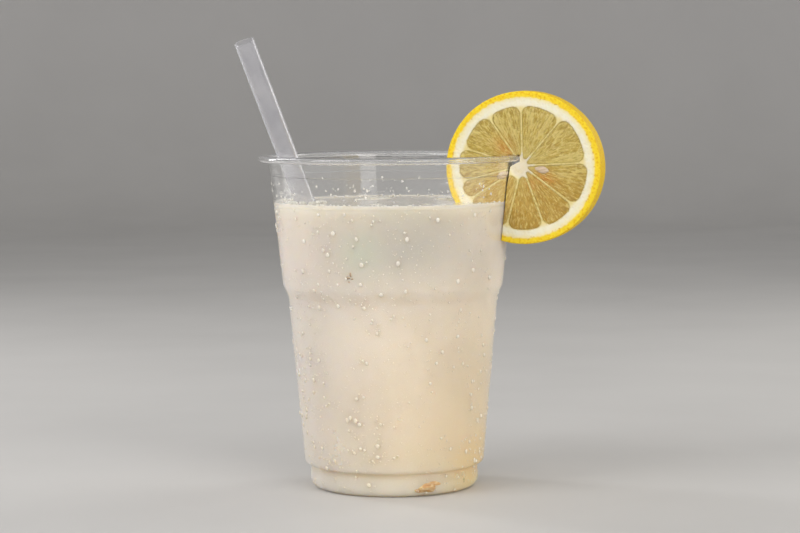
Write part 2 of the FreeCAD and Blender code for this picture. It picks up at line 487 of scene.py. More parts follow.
def drink_profile(wall, level, bite, climb):
    """The drink's outline as (radius, height), from the middle of the floor to the middle of the top.

    It bites into the wall, and climbs it at the level. The heights are closer at the foot and the step.
    """
    profile = [(0.0, wall.floor_at(1.0) - bite)]
    corner = wall.at(1.2, "inner")
    profile += [(r, wall.floor_at(r) - bite) for r in np.arange(2.0, corner - 0.2, 1.6)]
    foot, step_low, step_high = 14, 62, 78
    heights = np.concatenate([
        np.arange(1.3, foot, 0.45),
        np.arange(foot, step_low, 1.6),
        np.arange(step_low, step_high, 0.6),
        np.arange(step_high, level - 0.5, 1.6),
    ])
    profile += [(wall.at(z, "inner") + bite, z) for z in heights]
    profile.append((wall.at(level + climb, "inner") + bite, level + climb))
    edge = wall.at(level, "inner") + bite
    profile += [
        (edge - d, level + climb * math.exp(-d / 0.9))
        for d in (0.25, 0.5, 0.8, 1.2, 1.7, 2.4, 3.3)
    ]
    profile += [(r, level) for r in np.arange(edge - 4.6, 0.8, -1.5)]
    profile.append((0.0, level))
    return profile, edge


def calm_normals(verts, faces, level):
    """Normals that hardly show the cup's step, as cloudy drink is lit from well under its surface."""
    shape = bpy.data.meshes.new("shape")
    shape.from_pydata(verts.tolist(), [], faces)
    normals = np.array([v.normal[:] for v in shape.vertices])
    bpy.data.meshes.remove(shape)
    side = (verts[:, 2] > 0.8) & (verts[:, 2] < level - 1.5)
    lean, own, calm = -3.2, 0.2, 0.8
    around = np.column_stack([verts[:, 0], verts[:, 1], np.full(len(verts), lean)])
    around /= np.linalg.norm(around, axis=1)[:, None]
    normals[side] = own * normals[side] + calm * around[side]
    return normals / np.linalg.norm(normals, axis=1)[:, None]


def make_drink(wall, level, straw_hit):
    """The lemonade, which fills the cup up to the level and reaches a little into the wall."""
    bite, climb = 0.14, 0.35
    profile, edge = drink_profile(wall, level, bite, climb)
    verts, faces = lathe(profile, 192)
    verts = as_array(verts)
    # the surface: low ripples, and a rise round the straw
    for v in verts[verts[:, 2] > level - 0.4]:
        r = math.hypot(v[0], v[1])
        inside = min(1.0, max(0.0, (edge - r) / 5.0))
        v[2] += 0.16 * inside * noise.noise(Vector((v[0] * 0.11, v[1] * 0.11, 3.7)))
        d = math.hypot(v[0] - straw_hit[0], v[1] - straw_hit[1])
        if inside > 0:
            v[2] += 0.9 * math.exp(-max(0.0, d - 3.2) / 1.2) * min(1.0, inside * 3)
    z_mid = np.array([verts[list(f), 2].mean() for f in faces])
    r_mid = np.array([np.hypot(*verts[list(f), :2].mean(0)) for f in faces])
    face_mats = [int(z > level - 0.3 and r < edge - 0.2) for z, r in zip(z_mid, r_mid)]
    mesh_piece(
        "lemonade_fill", verts, faces, [body_material(level), surface_material()],
        "lemonade", ["lemonade"], face_mats=face_mats, normals=calm_normals(verts, faces, level),
    )


def straw_at(level):
    """Where the straw's axis meets the level. The axis is the line that its points lie along."""
    pts = node_points("straw")
    centre = pts.mean(0)
    _, _, axes = np.linalg.svd(pts - centre, full_matrices=False)
    direction = axes[0] * np.sign(axes[0][2])
    along = (pts - centre) @ direction
    foot = centre + direction * along.min()
    return foot + direction * ((level - foot[2]) / direction[2])


# ---- droplets, bubbles and bits

def dome(centre, out, up, wide, tall, height, sink, rings, around, wobble, rng):
    """A flattened drop: a dome along out, wide by tall, whose base is sunk below centre by sink."""
    side = np.cross(up, out)
    verts, faces = [], []
    phase = rng.uniform(0, 2 * pi, 3)
    angles = np.linspace(0, 2 * pi, around, endpoint=False)
    shape = 1 + wobble * (0.6 * np.cos(2 * angles + phase[0]) + 0.4 * np.cos(3 * angles + phase[1]))
    verts.append(centre + out * height)
    for ring in range(1, rings + 1):
        t = ring / rings * pi / 2
        for a, s in zip(angles, shape):
            verts.append(
                centre
                + side * (wide * sin(t) * cos(a) * s)
                + up * (tall * sin(t) * sin(a) * s)
                + out * (height * cos(t))
            )
    base = len(verts)
    for i in range(around):
        verts.append(verts[base - around + i] - out * sink)
    verts.append(centre - out * sink)
    for i in range(around):
        faces.append((0, 1 + i, 1 + (i + 1) % around))
        for ring in range(rings):
            a = 1 + ring * around
            faces.append((a + i, a + around + i, a + around + (i + 1) % around, a + (i + 1) % around))
        faces.append((len(verts) - 1, base + (i + 1) % around, base + i))
    return verts, faces


def joined(parts):
    """Several shapes as one."""
    verts, faces = [], []
    for part_verts, part_faces in parts:
        start = len(verts)
        verts += list(part_verts)
        faces += [tuple(v + start for v in f) for f in part_faces]
    return verts, faces


def wall_frame(wall, angle, z, side="outer"):
    """A point on the wall, its outward normal and the direction up along it.

    angle is from the front, to the right.
    """
    r = wall.at(z, side)
    radial = np.array([sin(angle), -cos(angle), 0.0])
    slope = wall.slope(z, side)
    up = radial * slope + np.array([0, 0, 1.0])
    up /= np.linalg.norm(up)
    around = np.array([cos(angle), sin(angle), 0.0])
    out = np.cross(around, up)
    return radial * r + np.array([0, 0, z]), out, up


def water_material():
    """Drops that are half clear and half pale, as fully clear ones would show too dark; the pale half is
    painted light, in place of what clear water reflects.
    """
    mat, bsdf, tree = new_material(
        "water", Base_Color=(0.97, 0.97, 0.95, 1), Roughness=0.02, IOR=1.1,
        Transmission_Weight=0.55, Coat_Weight=1.0, Coat_Roughness=0.02, Coat_IOR=1.5,
    )
    let_lamps_through(tree, bsdf)
    # painted light: the pale colour stands in for reflections on clear water
    tint = noise_of(tree, place_of(tree), 700.0, 1.0)
    colour_by(tree, bsdf, tint, [(0.3, WATER_DULL), (0.7, WATER_BRIGHT)])
    return mat


def dew_material():
    """Against the cloudy drink a drop shows pale, painted light in place of what clear water reflects
    and focuses, with a bright spot, and warmer low down.
    """
    mat, bsdf, tree = new_material(
        "dew_on_drink", Roughness=0.15, IOR=1.33, Subsurface_Weight=0.3,
        Subsurface_Radius=(1.0, 0.9, 0.7), Subsurface_Scale=0.0006, Coat_Weight=1.0,
        Coat_Roughness=0.03, Coat_IOR=1.4,
    )
    place = place_of(tree)
    tint = noise_of(tree, place, 700.0, 1.0)
    # painted light: the drops' pale colour stands in for the light that clear water reflects and focuses
    pale = colour_ramp(tree, tint, [(0.3, DEW_DULL), (0.7, DEW_BRIGHT)])
    low = remap(tree, axes_of(tree, place)["Z"], 0.085, 0.0, 0.0, 0.6)
    tree.links.new(mix_colour(tree, low, pale, DEW_WARM), bsdf.inputs["Base Color"])
    return mat


def make_droplets(wall, level):
    """Water on the cup's wall: larger drops, a fine dew between them, and splashes above the level."""
    rng = np.random.default_rng(11)
    large_size, tall_size = 0.34, 0.4
    placed = []

    def drop(angle, z, size, rings, around):
        """The shape of a drop, or None where it would touch another."""
        point, out, up = wall_frame(wall, angle, z)
        near = [(other, reach) for other, reach in placed if abs(other[2] - point[2]) < 1.6]
        if any(np.linalg.norm(other - point) < (size + reach) * 1.05 for other, reach in near):
            return None
        placed.append((point, size))
        stretch = rng.uniform(1.0, 1.3) if size > tall_size else 1.0
        sink = 0.3 if z < level - 0.3 else 0.03
        height = size * (rng.uniform(0.42, 0.58) if size > large_size else 0.34)
        return dome(point, out, up, size, size * stretch, height, sink, rings, around, 0.1, rng)

    def scatter(count, low, high, smallest, spread, rings, around):
        """Drops at random places between two heights, with some stretches left bare."""
        parts = []
        for _ in range(count):
            angle, z = rng.uniform(-pi, pi), rng.uniform(low, high)
            size = smallest + spread * rng.random() ** 1.8
            degrees = math.degrees(angle)
            by_lemon = z > 84 and abs(degrees - 75) < 18
            bare = noise.noise(Vector((sin(angle) * 1.7, cos(angle) * 1.7, z / 30.0)))
            sparse = -8 < degrees < 34 and size > 0.3 and rng.random() < 0.6
            if by_lemon or sparse or bare > 0.33:
                continue
            made = drop(angle, z, size, rings, around)
            if made is not None:
                parts.append(made)
        return parts

    large = scatter(640, 1.2, level - 1.2, 0.36, 0.42, 4, 12)
    fine = scatter(3000, 0.9, level - 0.7, 0.15, 0.18, 2, 6)
    above = scatter(210, level + 0.5, 109.0, 0.15, 0.36, 3, 8)
    mesh_piece("splashes", *joined(above), water_material(), "lemonade")
    dew = dew_material()
    mesh_piece("droplets", *joined(large), dew, "lemonade")
    mesh_piece("dew", *joined(fine), dew, "lemonade")


def ball(centre, radius):
    """A coarse ball, as vertices and faces."""
    rings, around = 5, 8
    turns = [pi * i / rings for i in range(rings + 1)]
    profile = [(radius * sin(t), -radius * cos(t)) for t in turns]
    verts, faces = lathe(profile, around)
    return as_array(verts) + centre, faces


def make_foam(wall, level, straw_hit):
    """Small bubbles that gather along the wall at the level and round the straw."""
    rng = np.random.default_rng(5)
    parts = []
    for _ in range(170):
        angle = rng.uniform(-pi, pi)
        size = rng.uniform(0.16, 0.5)
        r = wall.at(level, "inner") - size - rng.exponential(0.9)
        parts.append(ball((r * sin(angle), -r * cos(angle), level + 0.25 * size + 0.2), size))
    for _ in range(46):
        angle = rng.uniform(-pi, pi)
        size = rng.uniform(0.25, 0.7)
        r = 3.9 + size + rng.exponential(0.8)
        x, y = straw_hit[0] + r * cos(angle), straw_hit[1] + r * sin(angle)
        parts.append(ball((x, y, level + 0.3 * size + 0.15), size))
    mat, bsdf, tree = new_material(
        "foam", Base_Color=(*srgb(250, 248, 240), 1), Roughness=0.08, IOR=1.33,
        Transmission_Weight=0.3,
    )
    tint = noise_of(tree, place_of(tree), 900.0, 2.0)
    colour_by(tree, bsdf, tint, [(0.3, FOAM_DULL), (0.7, FOAM_BRIGHT)])
    mesh_piece("foam_bubbles", *joined(parts), mat, "lemonade")


# Bits on the inside of the wall: the angle from the front in degrees, the height, the half width and
# the half height.
BITS = {
    "peel_bit": [
        (-23.0, 77.3, 0.95, 0.7), (-21.4, 78.4, 0.5, 0.8), (-20.6, 77.0, 0.45, 0.4),
        (-22.4, 75.9, 0.5, 0.3),
    ],
    "pulp_bit": [
        (22.5, 3.6, 3.2, 1.3), (27.5, 4.6, 2.4, 0.9), (18.0, 2.4, 2.2, 0.8), (24.5, 2.6, 2.6, 0.8),
    ],
    "zest_bit": [
        (55.0, 4.2, 0.35, 0.8), (112.0, 58.0, 0.9, 0.6), (168.0, 31.0, 0.7, 1.0),
        (-118.0, 83.0, 0.8, 0.5), (-150.0, 12.0, 1.4, 0.8),
    ],
}
# Their dark and pale colours, and how fine their fibres are.
BIT_LOOKS = {
    "peel_bit": (srgb(128, 96, 78), srgb(224, 200, 164), 1700.0),
    "pulp_bit": (srgb(208, 144, 58), srgb(240, 210, 152), 760.0),
    "zest_bit": (srgb(96, 84, 40), srgb(190, 172, 96), 900.0),
}


def bits_material(name):
    dark, pale, scale = BIT_LOOKS[name]
    mat, bsdf, tree = new_material(
        name, Roughness=0.5, Subsurface_Weight=0.35, Subsurface_Radius=(1.0, 0.6, 0.3),
        Subsurface_Scale=0.002,
    )
    upright = stretched(tree, place_of(tree), (0.5, 0.5, 1.6))
    fibre = noise_of(tree, upright, scale, 4.0, 0.65, 0.6)
    colour_by(tree, bsdf, fibre, [(0.36, dark), (0.62, pale)])
    return mat


def make_bits(wall):
    """Small bits of lemon and peel that rest against the inside of the wall."""
    rng = np.random.default_rng(31)
    height, sink, rings, around, wobble = 0.32, 0.9, 3, 22, 0.26
    for name, rows in BITS.items():
        parts = []
        for degrees, z, wide, tall in rows:
            point, out, up = wall_frame(wall, math.radians(degrees), z, "inner")
            parts.append(dome(point, out, up, wide, tall, height, sink, rings, around, wobble, rng))
        mesh_piece(name, *joined(parts), bits_material(name), "lemonade")


# Lumps of ice: x, y, their turn in radians, their half sizes and how far they rise above the level.
ICE = (
    (-9.5, -29.0, 0.25, (9.5, 7.5, 7.0), 0.75),
    (17.0, -25.5, -0.5, (8.0, 7.0, 7.0), 0.5),
    (-4.0, 17.0, 0.9, (10.0, 8.0, 7.0), 0.9),
    (22.0, 15.0, 0.1, (8.0, 7.5, 7.0), 0.6),
)


def ice_material():
    mat, bsdf, tree = new_material(
        "ice", Base_Color=(0.94, 0.95, 0.94, 1), Roughness=0.06, IOR=1.31,
        Transmission_Weight=0.85,
    )
    place = place_of(tree)
    frost = noise_of(tree, place, 300.0, 3.0, 0.6)
    tree.links.new(remap(tree, frost, 0.35, 0.7, 0.03, 0.3), bsdf.inputs["Roughness"])
    add_bump(tree, bsdf, [(noise_of(tree, place, 180.0, 2.0), 0.3, 0.0006)])
    let_lamps_through(tree, bsdf)
    return mat


def ice_lump(size, shift):
    """A cube with rounded corners and uneven sides, as vertices and faces. size is its half sizes."""
    bm = bmesh.new()
    bmesh.ops.create_cube(bm, size=2.0)
    bmesh.ops.subdivide_edges(bm, edges=bm.edges[:], cuts=11, use_grid_fill=True)
    for v in bm.verts:
        c = Vector(v.co)
        v.co = c.normalized() * sum(abs(a) ** 5 for a in c) ** 0.2 * 0.55 + c * 0.45
        v.co *= 1 + 0.05 * noise.noise(c * 1.6 + Vector((shift, 0, 0)))
        v.co = Vector((v.co.x * size[0], v.co.y * size[1], v.co.z * size[2]))
    verts = as_array([v.co[:] for v in bm.verts])
    faces = [[v.index for v in f.verts] for f in bm.faces]
    bm.free()
    return verts, faces


def make_ice(level):
    """Lumps of ice that just break the surface."""
    rng = np.random.default_rng(8)
    mat = ice_material()
    for number, (x, y, turn, size, rise) in enumerate(ICE, 1):
        verts, faces = ice_lump(size, rng.uniform(0, 50))
        c, s = cos(turn), sin(turn)
        verts[:, :2] = verts[:, :2] @ np.array([[c, s], [-s, c]])
        angle = rng.uniform(0.12, 0.3)
        axis = Vector((rng.uniform(-1, 1), rng.uniform(-1, 1), 0)).normalized()
        verts = verts @ np.array(Matrix.Rotation(angle, 3, axis))
        verts += np.array([x, y, level + rise - verts[:, 2].max()])
        mesh_piece(f"ice_{number}", verts, faces, mat, "lemonade")


# ---- the lemon wheel

HUB = np.array([-0.2, 0.7])


class Wheel:
    """The wheel's own drawing: p away from the cup, q up, n towards the front. In millimetres."""

    turn = math.radians(-15.0)
    step = 0.34

    def __init__(self):
        low, high = (np.array(c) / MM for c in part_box("lemon_peel"))
        self.centre = (low + high) / 2
        self.p = np.array([cos(self.turn), sin(self.turn), 0.0])
        self.n = np.array([sin(self.turn), -cos(self.turn), 0.0])
        self.q = np.array([0.0, 0.0, 1.0])
        self.half = self.to_local(node_points("lemon_peel"))[:, 2].max()
        self.peel = self.front_loops("lemon_peel")
        names = sorted(n for n in nodes if n.startswith("lemon_pulp"))
        self.pockets = {name: self.front_loops(name)[0] for name in names}
        # the outer line, with the slit's mouth left out
        reach, angle = polar(self.peel[0])
        on_rim = reach > reach.max() - 1.2
        order = np.argsort(angle[on_rim])
        self.rim_angles, self.rim_radii = angle[on_rim][order], reach[on_rim][order]

    def to_local(self, pts):
        d = pts - self.centre
        return np.stack([d @ self.p, d @ self.q, d @ self.n], 1)

    def to_world(self, local):
        return self.centre + local[:, :1] * self.p + local[:, 1:2] * self.q + local[:, 2:3] * self.n

    def front_loops(self, node):
        """The outlines of the node's front face, each an array of (p, q), the largest first."""
        local = self.to_local(node_points(node))
        keys = {}
        ids = [keys.setdefault(tuple(np.round(v, 3)), len(keys)) for v in local]
        flat = dict(zip(ids, local))
        count = {}
        for poly in nodes[node].data.polygons:
            if all(local[v][2] > self.half - 0.002 for v in poly.vertices):
                ring = [ids[v] for v in poly.vertices]
                for a, b in zip(ring, ring[1:] + ring[:1]):
                    if a != b:
                        count[frozenset((a, b))] = count.get(frozenset((a, b)), 0) + 1
        links = {}
        for edge, n in count.items():
            if n == 1:
                a, b = edge
                links.setdefault(a, []).append(b)
                links.setdefault(b, []).append(a)
        loops = [np.array([flat[i][:2] for i in loop]) for loop in chains(links) if len(loop) > 5]
        return [respaced(loop, self.step) for loop in sorted(loops, key=lambda l: -abs(loop_area(l)))]

    def rim_at(self, angle):
        return np.interp(angle, self.rim_angles, self.rim_radii, period=2 * pi)

    def rim_depth(self, points):
        """How far each point lies inside the outer line."""
        reach, angle = polar(points)
        return self.rim_at(angle) - reach

    def rim_bulge(self, base, depth):
        """How far the rim's points move out: round corners, a slight bulge, and pits."""
        bulge, rounding = 0.16, 0.5
        reach, angle = polar(base)
        is_rim = np.clip((reach - (self.rim_at(angle) - 0.3)) / 0.25, 0, 1)
        into = np.clip(self.half - np.abs(depth), 0, self.half)
        corner = rounding - np.minimum(into, rounding)
        out = np.sqrt(np.maximum(0, rounding ** 2 - corner ** 2))
        out += bulge * (1 - (np.abs(depth) / self.half) ** 2)
        solid = np.column_stack([base, depth])
        fine, broad = solid_wave(solid, 1.5), solid_wave(solid, 0.35, 9)
        pits = 0.10 * np.clip(fine + 0.1, 0, 1) + 0.08 * np.clip(broad + 0.3, 0, 1)
        out -= np.clip(into / 0.6, 0, 1) * pits
        return base / np.maximum(reach, 1e-6)[:, None] * (out * is_rim)[:, None]


def chains(links):
    """Closed chains of the linked numbers."""
    found, unused = [], set(links)
    while unused:
        start = min(unused)
        chain, last, now = [start], None, start
        while True:
            following = [x for x in links[now] if x != last and x not in chain[1:]]
            if not following or following[0] == start:
                break
            last, now = now, following[0]
            chain.append(now)
        unused -= set(chain)
        found.append(chain)
    return found


def polar(points, centre=(0.0, 0.0)):
    """The distance and the angle of each point (p, q) from the centre."""
    d = points[:, :2] - np.asarray(centre)
    return np.hypot(d[:, 0], d[:, 1]), np.arctan2(d[:, 1], d[:, 0])


def loop_area(loop):
    x, y = loop[:, 0], loop[:, 1]
    return 0.5 * float(np.sum(x * np.roll(y, -1) - np.roll(x, -1) * y))


def respaced(loop, step):
    """The loop with its long edges divided and its crowded points thinned, corners kept."""
    before, after = loop - np.roll(loop, 1, 0), np.roll(loop, -1, 0) - loop
    cross = before[:, 0] * after[:, 1] - before[:, 1] * after[:, 0]
    turn = np.abs(np.arctan2(cross, (before * after).sum(1)))
    kept = []
    for point, corner in zip(loop, turn > 0.4):
        if not kept or corner or np.linalg.norm(point - kept[-1]) > 0.55 * step:
            kept.append(point)
    out = []
    for a, b in zip(kept, kept[1:] + kept[:1]):
        parts = max(1, round(float(np.linalg.norm(b - a)) / step))
        out += [a + (b - a) * k / parts for k in range(parts)]
    return np.array(out)


def ends_of(loops):
    """The first and the last point of each edge of the loops."""
    return np.concatenate(loops), np.concatenate([np.roll(l, -1, 0) for l in loops])


def edge_distance(points, loops, chunk=4000):
    """The distance from each point to the nearest edge of the loops."""
    a, b = ends_of(loops)
    d = b - a
    length2 = np.maximum((d * d).sum(1), 1e-12)
    out = np.empty(len(points))
    for s in range(0, len(points), chunk):
        w = points[s : s + chunk, None, :] - a[None]
        t = np.clip((w * d[None]).sum(2) / length2[None], 0, 1)
        out[s : s + chunk] = np.sqrt(((w - t[..., None] * d[None]) ** 2).sum(2).min(1))
    return out


def inside(points, loops, chunk=4000):
    """Whether each point lies inside the loops, by the even-odd rule."""
    a, b = ends_of(loops)
    out = np.empty(len(points), bool)
    for s in range(0, len(points), chunk):
        p = points[s : s + chunk]
        crosses = (a[None, :, 1] > p[:, 1:2]) != (b[None, :, 1] > p[:, 1:2])
        with np.errstate(divide="ignore", invalid="ignore"):
            rise = p[:, 1:2] - a[None, :, 1]
            x = a[None, :, 0] + rise * (b - a)[None, :, 0] / (b - a)[None, :, 1]
        out[s : s + chunk] = (crosses & (p[:, :1] < x)).sum(1) % 2 == 1
    return out


def filled(loops, step):
    """Points and triangles that fill the loops, and each loop as a ring of the points' numbers.

    A ring runs the way its triangles run along it, so that walls built on it face outwards.
    """
    everything = np.concatenate(loops)
    low, high = everything.min(0), everything.max(0)
    rows = np.arange(low[1], high[1], step * math.sqrt(3) / 2)
    grid = []
    for i, y in enumerate(rows):
        row = np.arange(low[0] + (i % 2) * step / 2, high[0], step)
        grid.append(np.stack([row, np.full(len(row), y)], 1))
    grid = np.concatenate(grid)
    grid = grid[inside(grid, loops)]
    grid = grid[edge_distance(grid, loops) > 0.55 * step]
    verts = [Vector(v) for v in everything] + [Vector(v) for v in grid]
    edges, rings, start = [], [], 0
    for loop in loops:
        n = len(loop)
        rings.append(list(range(start, start + n)))
        edges += [(start + i, start + (i + 1) % n) for i in range(n)]
        start += n
    points, _, faces, origin, _, _ = delaunay_2d_cdt(verts, edges, [], 0, 1e-6)
    points = np.array([tuple(p) for p in points])
    where = {}
    for new, olds in enumerate(origin):
        for old in olds:
            where[old] = new
    rings = [[where[i] for i in ring] for ring in rings]
    tris = np.array([f[:] for f in faces])
    middle = points[tris].mean(1)
    tris = tris[inside(middle, loops)]
    a, b, c = points[tris[:, 0]], points[tris[:, 1]], points[tris[:, 2]]
    area = (b[:, 0] - a[:, 0]) * (c[:, 1] - a[:, 1]) - (b[:, 1] - a[:, 1]) * (c[:, 0] - a[:, 0])
    tris[area < 0] = tris[area < 0][:, ::-1]
    run = {(int(t[i]), int(t[(i + 1) % 3])) for t in tris for i in range(3)}
    return points, tris, [r if (r[0], r[1]) in run else r[::-1] for r in rings]


def smoothstep(x, low, high):
    """0 at low, 1 at high, and a smooth rise between them."""
    t = np.clip((x - low) / (high - low), 0, 1)
    return t * t * (3 - 2 * t)


def wave(points, scale, seed):
    """Smooth noise from about -1 to 1 at each point of (p, q)."""
    return np.array([noise.noise(Vector((x * scale, y * scale, seed))) for x, y in points])


def solid_wave(points, scale, shift=0.0):
    """The same at each point of (p, q, n), and different through the depth."""
    places = ((x * scale, y * scale, z * scale + shift) for x, y, z in points)
    return np.array([noise.noise(Vector(place)) for place in places])


def slab(points, tris, rings, front, back, levels, push=None):
    """A closed piece, as vertices of (p, q, n) and faces: a front, a back and the walls between them.

    The first vertices are the points at the heights front, the next ones the same points at the
    heights back. levels are the walls' rows, as shares of the way from front to back, and
    push(points, depths) says how far a row's points move sideways.
    """
    count = len(points)
    verts = [np.column_stack([points, front]), np.column_stack([points, back])]
    faces = [tuple(t) for t in tris] + [tuple(count + t[::-1]) for t in tris]
    total = 2 * count
    for ring in rings:
        previous = ring
        for share in levels:
            depth = front[ring] * (1 - share) + back[ring] * share
            side = points[ring]
            if push is not None:
                side = side + push(side, depth)
            verts.append(np.column_stack([side, depth]))
            row = list(range(total, total + len(ring)))
            total += len(ring)
            faces += strip(previous, row)
            previous = row
        faces += strip(previous, [count + v for v in ring])
    return np.concatenate(verts), faces


def strip(upper, lower):
    """Quads between two rows that close on themselves."""
    n = len(upper)
    return [(upper[(i + 1) % n], upper[i], lower[i], lower[(i + 1) % n]) for i in range(n)]


def juice_sacs(points, rng, seed):
    """Long cells that run out from the hub, as juice sacs do.

    Gives for each point how far its cell's edge is, and two random numbers of its cell.
    """
    rate, length = 13.0, 5.2
    reach, angle = polar(points, HUB)
    bend = 0.18 * wave(points, 0.16, seed)
    u, v = (angle + bend * 0.35) * rate, reach / length
    top = reach.max() / length + 1
    total = int(2 * pi * rate * top)
    widest = pi + 0.4
    seeds = np.column_stack([rng.uniform(-widest, widest, total) * rate, rng.uniform(0, top, total)])
    values = rng.random((total, 2))
    tree = kdtree.KDTree(total)
    for i, s in enumerate(seeds):
        tree.insert((s[0], s[1], 0), i)
    tree.balance()
    gap, cell = np.empty(len(points)), np.empty(len(points), int)
    for i, (x, y) in enumerate(zip(u, v)):
        near = tree.find_n((x, y, 0), 2)
        gap[i] = near[1][2] - near[0][2]
        cell[i] = near[0][1]
    return gap, values[cell, 0], values[cell, 1]


def layered(base, count, layers):
    """A colour for each of count points: base, with each layer (colour, share) over the last."""
    colours = np.tile(base, (count, 1))
    for over, share in layers:
        colours = colours + (over - colours) * share[:, None]
    return colours


def pulp_material():
    """Wet juice, with pale and dark streaks that run out from the hub: partly the juice's own streaks,
    partly painted highlights and painted shade.
    """
    mat, bsdf, tree = new_material(
        "lemon_pulp", Roughness=0.22, IOR=1.36, Specular_IOR_Level=0.5, Subsurface_Weight=0.55,
        Subsurface_Radius=(1.0, 0.75, 0.25), Subsurface_Scale=0.0016, Coat_Weight=0.9,
        Coat_Roughness=0.05, Coat_IOR=1.36,
    )
    uv = add_node(tree, "UVMap", {}, uv_map="polar")["UV"]
    along = stretched(tree, uv, (4.6, 0.075, 1.0))
    streaks = noise_of(tree, along, 6.0, 3.0, 0.62, 0.25)
    # the pale streaks are partly painted highlights on the wet sacs, the dark ones partly painted shade
    light, dark = remap(tree, streaks, 0.5, 0.68, 0.0, 0.85), remap(tree, streaks, 0.47, 0.32, 0.0, 0.75)
    colour = mix_colour(tree, light, painted(tree), PULP_PALE)
    colour = mix_colour(tree, dark, colour, PULP_DARK)
    tree.links.new(colour, bsdf.inputs["Base Color"])
    fine = noise_of(tree, stretched(tree, uv, (11.0, 0.14, 1.0)), 7.0, 2.0, 0.5)
    lumps = noise_of(tree, place_of(tree), 1300.0, 2.0)
    add_bump(tree, bsdf, [(streaks, 0.5, 0.0005), (fine, 0.4, 0.0003), (lumps, 0.35, 0.0003)])
    return mat


def peel_material():
    mat, bsdf, tree = new_material(
        "lemon_peel", Roughness=0.5, IOR=1.45, Specular_IOR_Level=0.12, Subsurface_Weight=0.3,
        Subsurface_Radius=(1.0, 0.8, 0.45), Subsurface_Scale=0.0015,
    )
    place = place_of(tree)
    mottle = remap(tree, noise_of(tree, place, 420.0, 3.0, 0.6), 0.42, 0.7, 0.0, 0.25)
    colour = mix_colour(tree, mottle, painted(tree), PITH_YELLOW, "MULTIPLY")
    tree.links.new(colour, bsdf.inputs["Base Color"])
    pore = remap(tree, cell_distance(tree, place, 760.0), 0.1, 0.5)
    fibre = noise_of(tree, place, 1500.0, 3.0, 0.6)
    add_bump(tree, bsdf, [(pore, 0.35, 0.0003), (fibre, 0.3, 0.0002)])
    return mat


def rind_colours(wheel, verts):
    """The zest, then pith, membranes and the pale core, as a colour for each vertex."""
    depth, reach = wheel.rim_depth(verts), polar(verts, HUB)[0]
    from_middle = np.abs(verts[:, 2])
    glands = solid_wave(verts, 1.35, 3)
    zest_depth = 1.45 + 0.35 * solid_wave(verts, 0.8, 5)
    zest = smoothstep(depth, zest_depth + 0.35, zest_depth - 0.25)
    on_side = smoothstep(from_middle, wheel.half - 0.1, wheel.half - 0.6)
    pitted = 0.1 + 0.6 * smoothstep(glands, 0.0, 0.45) * smoothstep(depth, 2.0, 0.3)
    # the juice shows through the thin edges of the membranes and pith
    near = edge_distance(verts[:, :2], list(wheel.pockets.values()))
    streak = wave(verts[:, :2], 1.3, 4.4)
    soak = smoothstep(near + 0.25 * streak, 0.34, 0.06) * np.where(reach < 4.6, 0.35, 1.0)
    specks = smoothstep(glands, 0.28, 0.5) * smoothstep(np.abs(depth - zest_depth - 0.1), 0.5, 0.1)
    return layered(PITH, len(verts), [
        (PITH_YELLOW, 0.55 * smoothstep(depth, zest_depth + 1.6, zest_depth)),
        (MEMBRANE, 0.75 * smoothstep(depth, 4.0, 5.6) * smoothstep(reach, 3.4, 5.2)),
        (CORE, smoothstep(reach, 4.8, 3.2)),
        (ZEST, zest),
        (ZEST_SIDE, zest * on_side),
        (ZEST_DEEP, zest * pitted),
        (0.75 * PULP + 0.25 * MEMBRANE, 0.9 * soak * (depth > 2.5)),
        (ZEST_DEEP * 0.85, 0.8 * specks * (from_middle > wheel.half - 0.4)),
    ])


def make_rind(wheel):
    """All of the wheel but its juice: rind, pith, membranes and core."""
    points, tris, rings = filled(wheel.peel, wheel.step)
    half, sunk = wheel.half, 0.10
    fine, broad, behind = wave(points, 1.9, 1.3), wave(points, 0.35, 8.1), wave(points, 1.7, 21.0)
    rind_edge = smoothstep(wheel.rim_depth(points), 1.5, 0.2)
    uneven = (0.05 * fine + 0.05 * broad) * 0.8
    front = np.minimum(half, half - sunk + uneven - 0.05 * rind_edge)
    back = np.maximum(-half, -half + sunk - 0.8 * (0.05 * behind + 0.05 * broad))
    levels = [0.008, 0.02, 0.045, *np.linspace(0.08, 0.92, 21), 0.955, 0.98, 0.992]
    verts, faces = slab(points, tris, rings, front, back, levels, wheel.rim_bulge)
    mesh_piece(
        "lemon_rind", wheel.to_world(verts), faces, peel_material(), "lemon_peel", ["lemon_peel"],
        colours=rind_colours(wheel, verts),
    )


# Deeper orange patches of the juice: p, q, size and strength.
ORANGE_PATCHES = (
    (-6.3, 7.0, 3.6, 0.75),
    (7.6, -3.6, 3.6, 0.85),
    (2.6, -5.4, 2.4, 0.5),
    (-6.5, -2.4, 4.0, 0.3),
)


def overlapped(loop, peel_loops):
    """The loop of a juice segment, grown a little into the pith but not where it meets the slit."""
    if loop_area(loop) < 0:
        loop = loop[::-1]
    ahead = np.roll(loop, -1, 0) - np.roll(loop, 1, 0)
    ahead /= np.maximum(np.linalg.norm(ahead, axis=1), 1e-9)[:, None]
    outward = np.column_stack([ahead[:, 1], -ahead[:, 0]])
    free = edge_distance(loop, peel_loops) > 0.06
    return loop + outward * np.where(free, 0.0, 0.13)[:, None]


